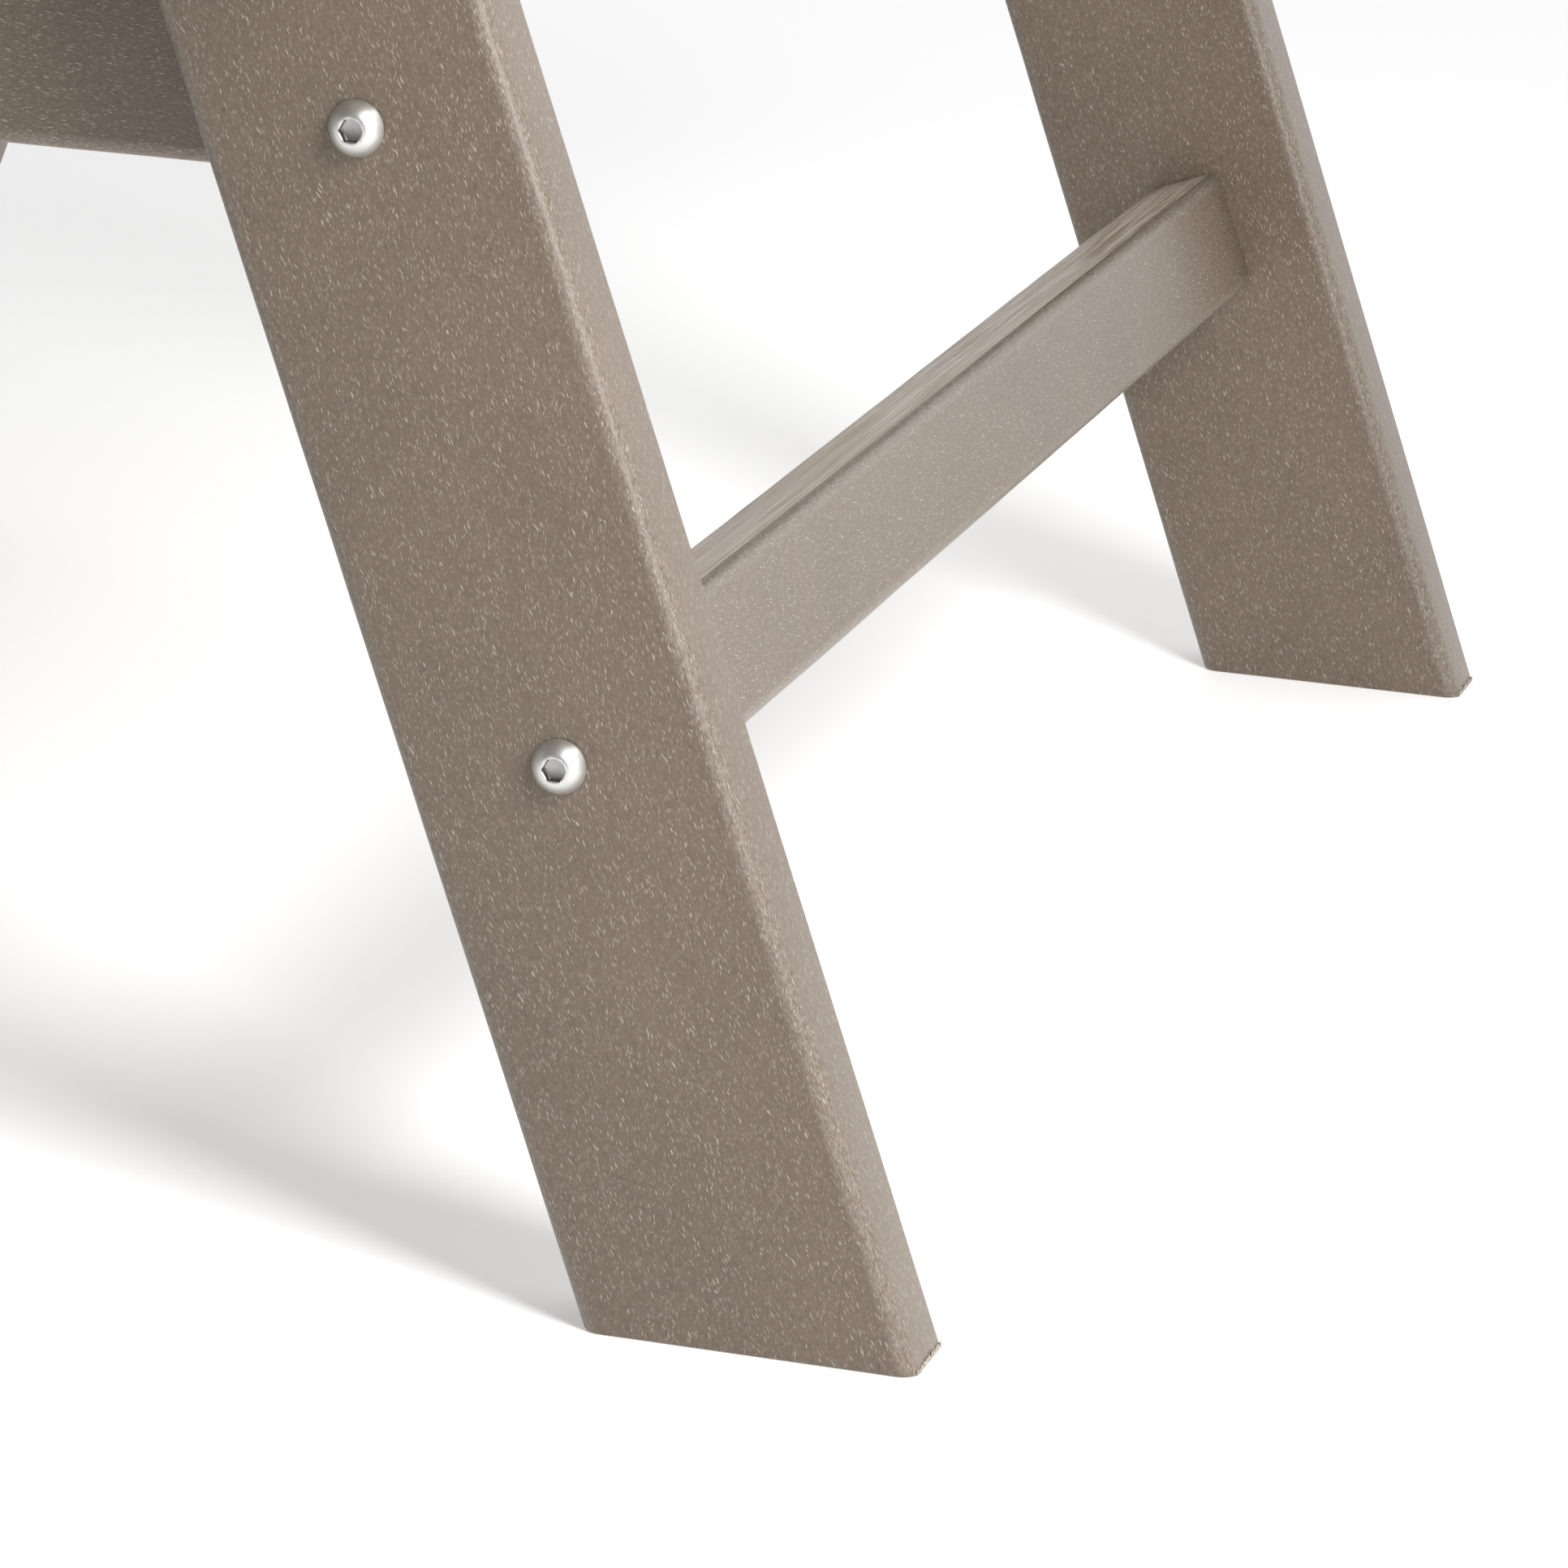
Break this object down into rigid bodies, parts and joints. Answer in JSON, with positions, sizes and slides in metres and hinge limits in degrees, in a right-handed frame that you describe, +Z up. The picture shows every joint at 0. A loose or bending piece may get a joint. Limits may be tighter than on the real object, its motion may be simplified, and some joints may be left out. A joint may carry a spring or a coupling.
{
  "type": "picnic table",
  "caption": "Free-standing outdoor picnic table of bolted recycled-plastic boards, with leaning legs, low stretchers and a slatted deck.",
  "frame": {"origin": "on the ground at the centre of the table", "axes": "+Z up, +Y along the table, +X across it"},
  "size_m": [0.97, 1.5, 0.75],
  "materials": {
    "board": "matte recycled plastic with short pale and dark flecks along the board",
    "stainless": "stainless steel, satin"
  },
  "bodies": {
    "root": {"leg_near_left": "board", "leg_near_right": "board", "leg_far_left": "board", "leg_far_right": "board", "cross_board_near": "board", "cross_board_far": "board", "stretcher_left": "board", "stretcher_right": "board", "top_batten_near": "board", "top_batten_centre": "board", "top_batten_far": "board", "brace_near": "board", "brace_far": "board", "plank_1": "board", "plank_2": "board", "plank_3": "board", "plank_4": "board", "plank_5": "board", "plank_6": "board", "plank_7": "board", "frame_bolts_near": "stainless", "frame_washers_near": "stainless", "frame_nuts_near": "stainless", "frame_bolts_far": "stainless", "frame_washers_far": "stainless", "frame_nuts_far": "stainless", "stretcher_bolts": "stainless", "barrel_nuts": "stainless", "deck_screws_near": "stainless", "deck_screws_centre": "stainless", "deck_screws_far": "stainless", "brace_screws": "stainless"}
  },
  "joints": []
}
